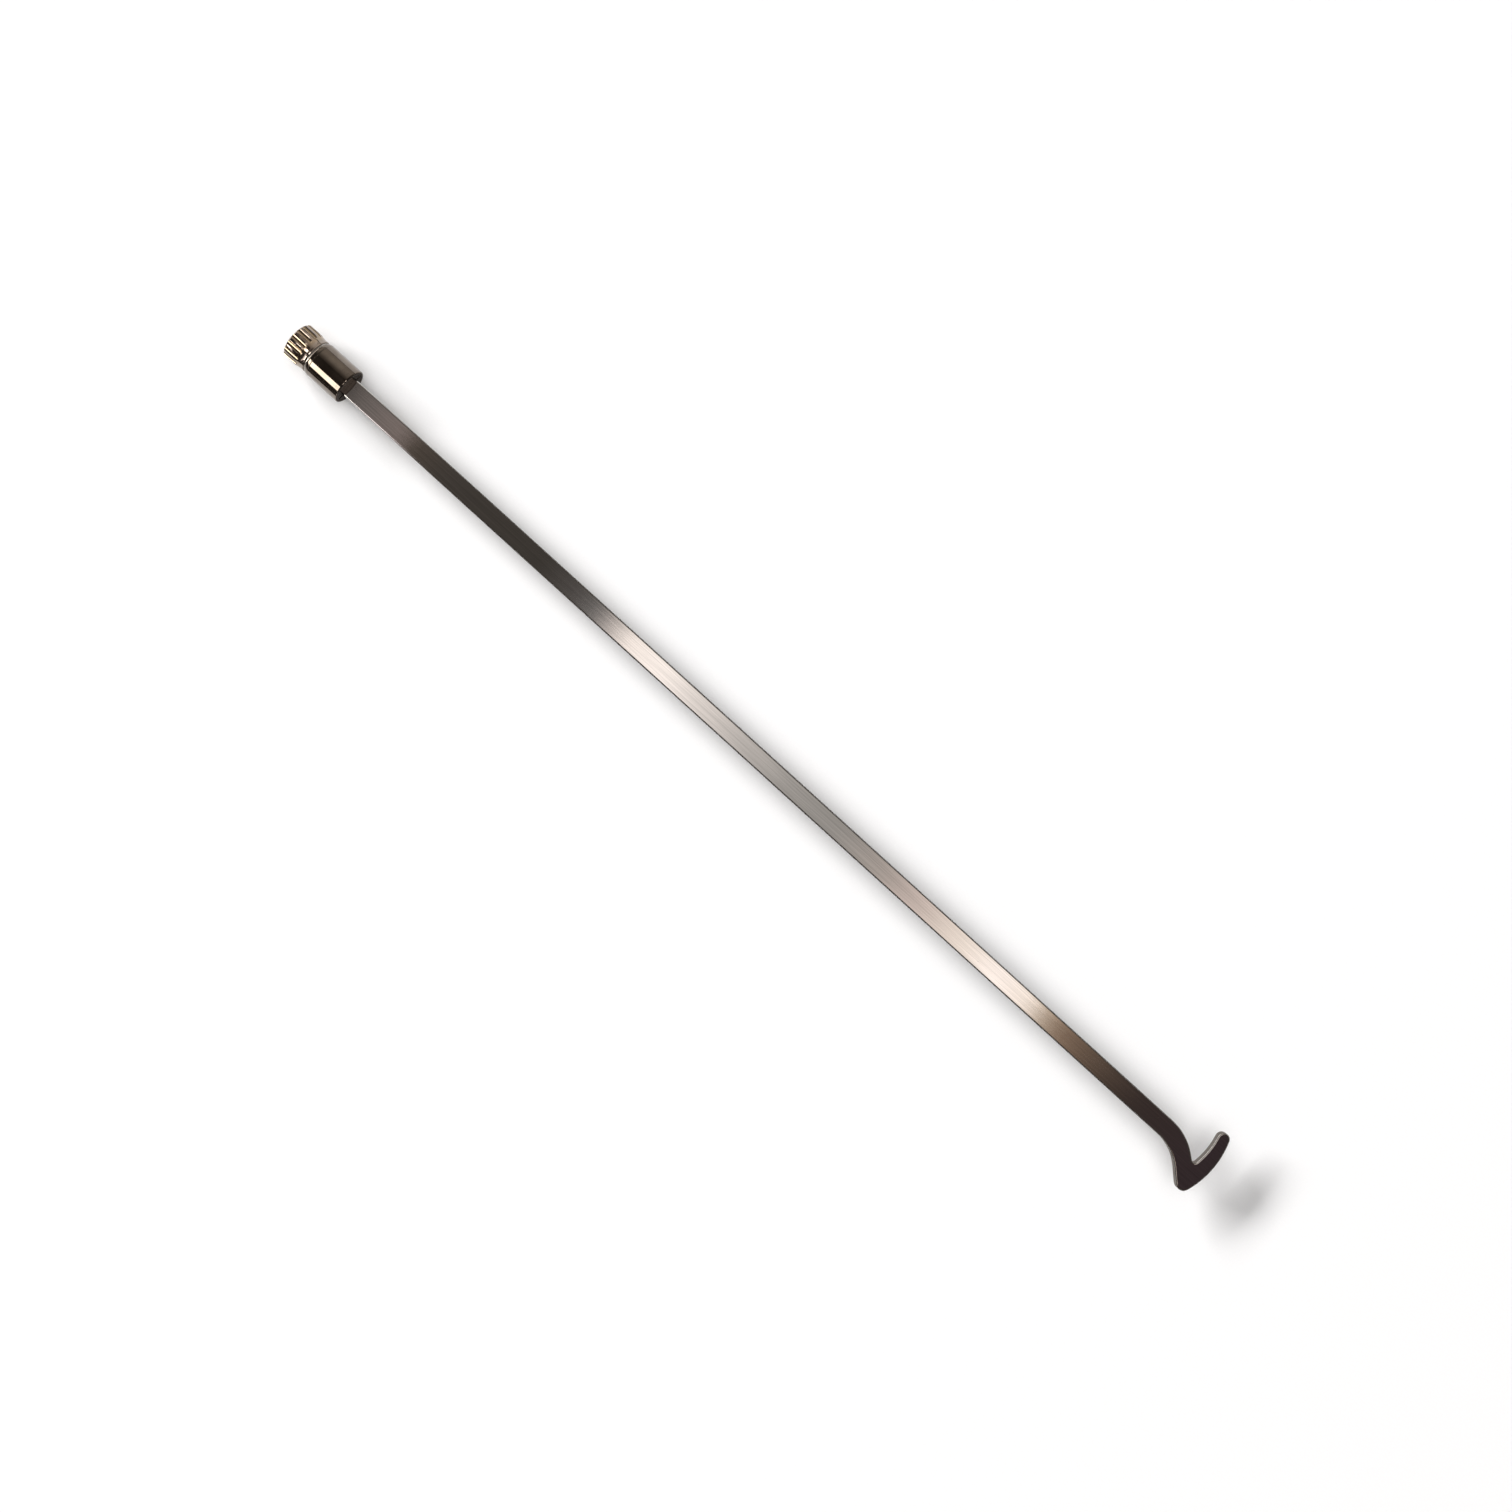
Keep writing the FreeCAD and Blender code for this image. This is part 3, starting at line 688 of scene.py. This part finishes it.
def makeFloor():
    leaveEdit()
    bpy.ops.mesh.primitive_plane_add(size=floor["size"], rotation=(0, floorFall, 0),
                                     location=(headTouch, 0, overFloor(headTouch, -floor["gap"])))
    card = bpy.context.object
    card.name = "floorCard"
    material, tree = newMaterial("mattWhiteCard")
    place = addNode(tree, "ShaderNodeTexCoord").outputs["Object"]
    grain = addNode(tree, "ShaderNodeTexNoise", {"Vector": place, "Scale": perMm(floor["grain"]),
                                                 "Detail": 2.0})
    colour = addNode(tree, "ShaderNodeValToRGB", {"Fac": grain.outputs["Fac"]},
                     stops=[(noiseLow, linear(floor["shade"])), (noiseHigh, linear(floor["colour"]))])
    shader = addNode(tree, "ShaderNodeBsdfPrincipled", {"Base Color": colour.outputs["Color"],
                                                        "Roughness": floor["roughness"],
                                                        "Specular IOR Level": 0.0})
    finishMaterial(tree, shader)
    card.data.materials.append(material)


makeFloor()

# camera: straight above the bar, turned so that the bar lies across the frame from upper left to lower right
camera = {
    "over": 0.1129,              # metres along the blade's line
    "height": 0.3267,
    "roll": 42.2157,
    "lens": 39.29,
    "sensor": 36.0,
    "clipStart": 0.01,
}
lens = bpy.data.cameras.new("studioCamera")
lens.lens = camera["lens"]
lens.sensor_width = camera["sensor"]
lens.clip_start = camera["clipStart"]
studioCamera = bpy.data.objects.new("studioCamera", lens)
studioCamera.location = (camera["over"], 0, camera["height"])
studioCamera.rotation_euler = (0, 0, math.radians(camera["roll"]))
bpy.context.scene.collection.objects.link(studioCamera)
bpy.context.scene.camera = studioCamera


# soft boxes that light the floor; the polish does not see them, only the cards below.
# The key stands low and far behind the head, so its shadows run along the blade and out past the foot
lights = {
    "keyFromUp": 67.0,           # degrees from straight up
    "keyAside": 1.0,             # degrees off the blade's line
    "keyDistance": 12.0,
    "keyWide": 8.0,
    "keyHigh": 1.7,
    "keyPower": 2240.0,
    "fillHeight": 3.0,
    "fillSize": 3.2,
    "fillPower": 43.5,
}


def addSoftLight(name, place, aim, width, height, power):
    lamp = bpy.data.lights.new(name, "AREA")
    lamp.shape = "RECTANGLE"
    lamp.size = width
    lamp.size_y = height
    lamp.energy = power
    holder = bpy.data.objects.new(name, lamp)
    holder.location = place
    holder.rotation_euler = (Vector(place) - Vector(aim)).to_track_quat("Z", "Y").to_euler()
    holder.visible_glossy = False
    bpy.context.scene.collection.objects.link(holder)


middle = Vector((camera["over"], 0, 0))
fromUp = math.radians(lights["keyFromUp"])
aside = math.radians(lights["keyAside"])
keyDirection = Vector((-math.sin(fromUp) * math.cos(aside), -math.sin(fromUp) * math.sin(aside),
                       math.cos(fromUp)))
addSoftLight("keyLight", middle + keyDirection * lights["keyDistance"], middle, lights["keyWide"],
             lights["keyHigh"], lights["keyPower"])
addSoftLight("fillLight", middle + Vector((0, 0, lights["fillHeight"])), middle, lights["fillSize"],
             lights["fillSize"], lights["fillPower"])


# cards that only the polished metal sees. A card's ramp runs along its own X or Y
def addCard(name, place, turn, width, height, strength, stops, along="X"):
    leaveEdit()
    bpy.ops.mesh.primitive_plane_add(size=1)
    card = bpy.context.object
    card.name = name
    card.scale = (width, height, 1)
    bpy.ops.object.transform_apply(location=False, rotation=False, scale=True)
    card.location = place
    card.rotation_euler = turn
    material, tree = newMaterial(name + "Glow")
    where = addNode(tree, "ShaderNodeTexCoord").outputs["Object"]
    parts = addNode(tree, "ShaderNodeSeparateXYZ", {"Vector": where})
    half = (width if along == "X" else height) / 2
    share = addNode(tree, "ShaderNodeMapRange", {"Value": parts.outputs[along], "From Min": -half,
                                                 "From Max": half})
    ramp = addNode(tree, "ShaderNodeValToRGB", {"Fac": share.outputs["Result"]},
                   stops=[(position, linear(colour)) for position, colour in stops])
    glow = addNode(tree, "ShaderNodeEmission", {"Color": ramp.outputs["Color"], "Strength": strength})
    addNode(tree, "ShaderNodeOutputMaterial", {"Surface": glow.outputs["Emission"]})
    card.data.materials.append(material)
    card.visible_camera = False
    card.visible_diffuse = False
    card.visible_shadow = False
    return card


def shineOnlyOn(card, piece):
    # light linking ties the glow to one piece, and the others see straight through the card
    seers = bpy.data.collections.new(card.name + "Seers")
    seers.objects.link(piece)
    card.light_linking.receiver_collection = seers
    tree = card.active_material.node_tree
    clear = addNode(tree, "ShaderNodeBsdfTransparent")
    both = addNode(tree, "ShaderNodeAddShader", {0: tree.nodes["Emission"].outputs["Emission"],
                                                 1: clear.outputs["BSDF"]})
    tree.links.new(both.outputs["Shader"], tree.nodes["Material Output"].inputs["Surface"])


# the graded card overhead: each tone stands at the place along the blade, in mm, where it is mirrored
overhead = {
    "height": 0.9,
    "width": 0.7,
    "strength": 1.55,
    "tones": [(4, "#332E2B"), (6.2, "#5E5855"), (8, "#635D5A"), (19, "#7D716D"), (20.3, "#4A423B"),
              (30, "#3E3935"), (56, "#3A3632"), (66, "#4E4A48"), (71, "#6B6866"), (74, "#A8A09C"),
              (79, "#F6EBE4"), (88, "#FAF0EA"), (97, "#DAD2CD"), (108, "#B9B3AF"), (122, "#97938F"),
              (134, "#918D89"), (146, "#A29993"), (156, "#C3B3AC"), (168, "#E7DACF"), (177, "#FEF2EB"),
              (186, "#F4E6DB"), (189, "#B6A491"), (194, "#7D6858"), (203, "#54463C"), (213, "#362D2A"),
              (232, "#31282A"), (250, "#2B2523")],
}


def addOverheadCard():
    # a mirrored sight line lands this many times further out than it started
    spread = 1 + overhead["height"] / camera["height"]
    first = overhead["tones"][0][0]
    last = overhead["tones"][-1][0]
    centre = camera["over"] + ((first + last) / 2 * mm - camera["over"]) * spread
    stops = [((place - first) / (last - first), colour) for place, colour in overhead["tones"]]
    addCard("overheadCard", (centre, 0, overhead["height"]), (0, 0, 0), (last - first) * mm * spread,
            overhead["width"], overhead["strength"], stops)


addOverheadCard()

# cards along both sides of the line behind the head, graded by the angle from straight up.
# The window draws the long highlight on the barrel, the wall its soft brown side, and a second wall, for the
# knob alone, lights the side of its neck
sideCards = {
    "distance": 0.83,
    "near": -0.27,               # where the cards end, along the blade's line
    "far": -0.95,
    "edgeNear": -0.23,           # a weaker strip carries on from the window over the blade's edge
    "neckNear": 0.2,
    "window": [(35.5, "#000000"), (37.5, "#FFFBF0"), (66, "#FFFBF0"), (68.5, "#000000")],
    "windowStrength": 7.0,
    "edge": [(24, "#000000"), (30, "#E8DCDC"), (80, "#E8DCDC"), (85, "#000000")],
    "edgeStrength": 2.2,
    "wall": [(16, "#5E5751"), (27, "#807972"), (36, "#A69F97"), (45, "#C2BBB2"), (56, "#D2CAC0"),
             (66, "#D2CAC0"), (76, "#C6BFB6"), (87, "#CFC8C0")],
    "wallStrength": 1.0,
    "neck": [(8, "#000000"), (22, "#8C847D"), (40, "#C9C1B9"), (84, "#E2DAD2")],
    "neckStrength": 1.1,
}


def addSideCard(name, side, far, near, tones, strength):
    first = math.radians(tones[0][0])
    last = math.radians(tones[-1][0])
    centre = (first + last) / 2
    reach = math.tan((last - first) / 2)
    distance = sideCards["distance"]
    stops = [(0.5 + side * math.tan(math.radians(angle) - centre) / reach / 2, colour)
             for angle, colour in tones]
    return addCard(name, ((near + far) / 2, side * distance * math.sin(centre), distance * math.cos(centre)),
                   (-side * centre, 0, 0), near - far, 2 * distance * reach, strength, sorted(stops), along="Y")


addSideCard("windowCard", -1, sideCards["far"], sideCards["near"], sideCards["window"],
            sideCards["windowStrength"])
addSideCard("windowEdge", -1, sideCards["near"], sideCards["edgeNear"], sideCards["edge"],
            sideCards["edgeStrength"])
addSideCard("wallCard", 1, sideCards["far"], sideCards["near"], sideCards["wall"], sideCards["wallStrength"])

# two ceiling lamps out beyond the foot: small glints on the front rim
ceilingLamps = {
    "height": 0.88,
    "along": 1.1,
    "aside": (-0.2, 0.22),
    "long": 0.65,
    "wide": 0.12,
    "strength": 14.0,
    "tones": [(0.0, "#000000"), (0.1, "#FFFAF2"), (0.9, "#FFFAF2"), (1.0, "#000000")],
}
for number, lampAside in enumerate(ceilingLamps["aside"], 1):
    rimLamp = addCard("ceilingLamp%d" % number, (ceilingLamps["along"], lampAside, ceilingLamps["height"]),
                      (0, 0, 0), ceilingLamps["long"], ceilingLamps["wide"], ceilingLamps["strength"],
                      ceilingLamps["tones"])
    shineOnlyOn(rimLamp, collarSleeve)

# a small lamp for the knob alone: the glint in the hollow of its neck
neckLamp = {
    "place": (-0.15, -0.15, 0.86),
    "long": 0.18,
    "wide": 0.22,
    "strength": 7.0,
    "tones": [(0.0, "#000000"), (0.15, "#FFFBF5"), (0.85, "#FFFBF5"), (1.0, "#000000")],
}
neckGlint = addCard("neckLamp", neckLamp["place"], (0, 0, 0), neckLamp["long"], neckLamp["wide"],
                    neckLamp["strength"], neckLamp["tones"])
shineOnlyOn(neckGlint, knobHead)

# dark flags that lie just over the floor: one keeps the blade's edges and the collar's front dark in the shine,
# the other the barrel's side. The blade's own flag is lighter next to the chuck and under the foot
flags = {
    "lift": 0.06,                # mm over the floor
    "bladeStart": 0.0065,
    "bladeEnd": 0.30,
    "bladeWide": 0.09,
    "barrelStart": -0.6,
    "barrelEnd": 0.005,
    "barrelBeside": 0.022,
    "barrelWide": 0.6,
    "colour": "#4B453F",
    "atChuck": "#D9D4CF",
    "atFoot": "#8E8883",
    "darkFrom": 0.09,            # shares of the blade flag's length
    "darkTo": 0.735,
    "footFrom": 0.745,
}


def addFlag(name, start, end, low, high, stops):
    middleX = (start + end) / 2
    return addCard(name, (middleX, (low + high) / 2, overFloor(middleX, flags["lift"])), (0, floorFall, 0),
                   end - start, high - low, 1.0, stops)


addFlag("bladeFlag", flags["bladeStart"], flags["bladeEnd"], -flags["bladeWide"] / 2, flags["bladeWide"] / 2,
        [(0.0, flags["atChuck"]), (flags["darkFrom"], flags["colour"]), (flags["darkTo"], flags["colour"]),
         (flags["footFrom"], flags["atFoot"]), (1.0, flags["atFoot"])])
addFlag("barrelFlag", flags["barrelStart"], flags["barrelEnd"], -flags["barrelBeside"] - flags["barrelWide"],
        -flags["barrelBeside"], [(0.0, flags["colour"]), (1.0, flags["colour"])])
neckWall = addSideCard("neckWall", 1, sideCards["near"], sideCards["neckNear"], sideCards["neck"],
                       sideCards["neckStrength"])
shineOnlyOn(neckWall, knobHead)

# low card behind the head: the thin light lines on the edges that face it
lowCard = {
    "place": (-1.3, 0, 0.28),
    "high": 0.5,
    "wide": 1.6,
    "strength": 3.6,
    "tones": [(0.0, "#B8B2AE"), (0.5, "#EAE6E2"), (1.0, "#8C8783")],
}
addCard("lowCard", lowCard["place"], (0, quarterTurn, 0), lowCard["high"], lowCard["wide"],
        lowCard["strength"], lowCard["tones"])


# surroundings: tones by the angle from straight up, towards the window card (minus) or away from it (plus)
surroundings = {
    "strength": 1.0,
    "tones": [(-180, "#8E8984"), (-100, "#4A443F"), (-60, "#3A3632"), (-20, "#47423D"), (18, "#47423D"),
              (45, "#48423D"), (88, "#6A645E"), (100, "#8A847E"), (180, "#8E8984")],
    "ambient": "#7A7978",
    "seenByCamera": "#FCFCFC",
}


def makeSurroundings():
    world = bpy.data.worlds.new("studioRoom")
    world.use_nodes = True
    tree = world.node_tree
    tree.nodes.clear()
    direction = addNode(tree, "ShaderNodeTexCoord").outputs["Generated"]
    parts = addNode(tree, "ShaderNodeSeparateXYZ", {"Vector": direction})
    fromTop = addNode(tree, "ShaderNodeMath", {0: parts.outputs["Y"], 1: parts.outputs["Z"]},
                      operation="ARCTAN2")
    share = addNode(tree, "ShaderNodeMapRange", {"Value": fromTop.outputs["Value"], "From Min": -math.pi,
                                                 "From Max": math.pi})
    stops = [((angle + 180) / 360, linear(colour)) for angle, colour in surroundings["tones"]]
    walls = addNode(tree, "ShaderNodeValToRGB", {"Fac": share.outputs["Result"]}, stops=stops)
    rays = addNode(tree, "ShaderNodeLightPath")
    diffused = addNode(tree, "ShaderNodeMix", {"Factor": rays.outputs["Is Diffuse Ray"],
                                               "A": walls.outputs["Color"],
                                               "B": linear(surroundings["ambient"])}, data_type="RGBA")
    seen = addNode(tree, "ShaderNodeMix", {"Factor": rays.outputs["Is Camera Ray"],
                                           "A": diffused.outputs["Result"],
                                           "B": linear(surroundings["seenByCamera"])}, data_type="RGBA")
    glow = addNode(tree, "ShaderNodeBackground", {"Color": seen.outputs["Result"],
                                                  "Strength": surroundings["strength"]})
    addNode(tree, "ShaderNodeOutputWorld", {"Surface": glow.outputs["Background"]})
    bpy.context.scene.world = world


makeSurroundings()
bpy.context.scene.view_settings.view_transform = "Standard"

leaveEdit()
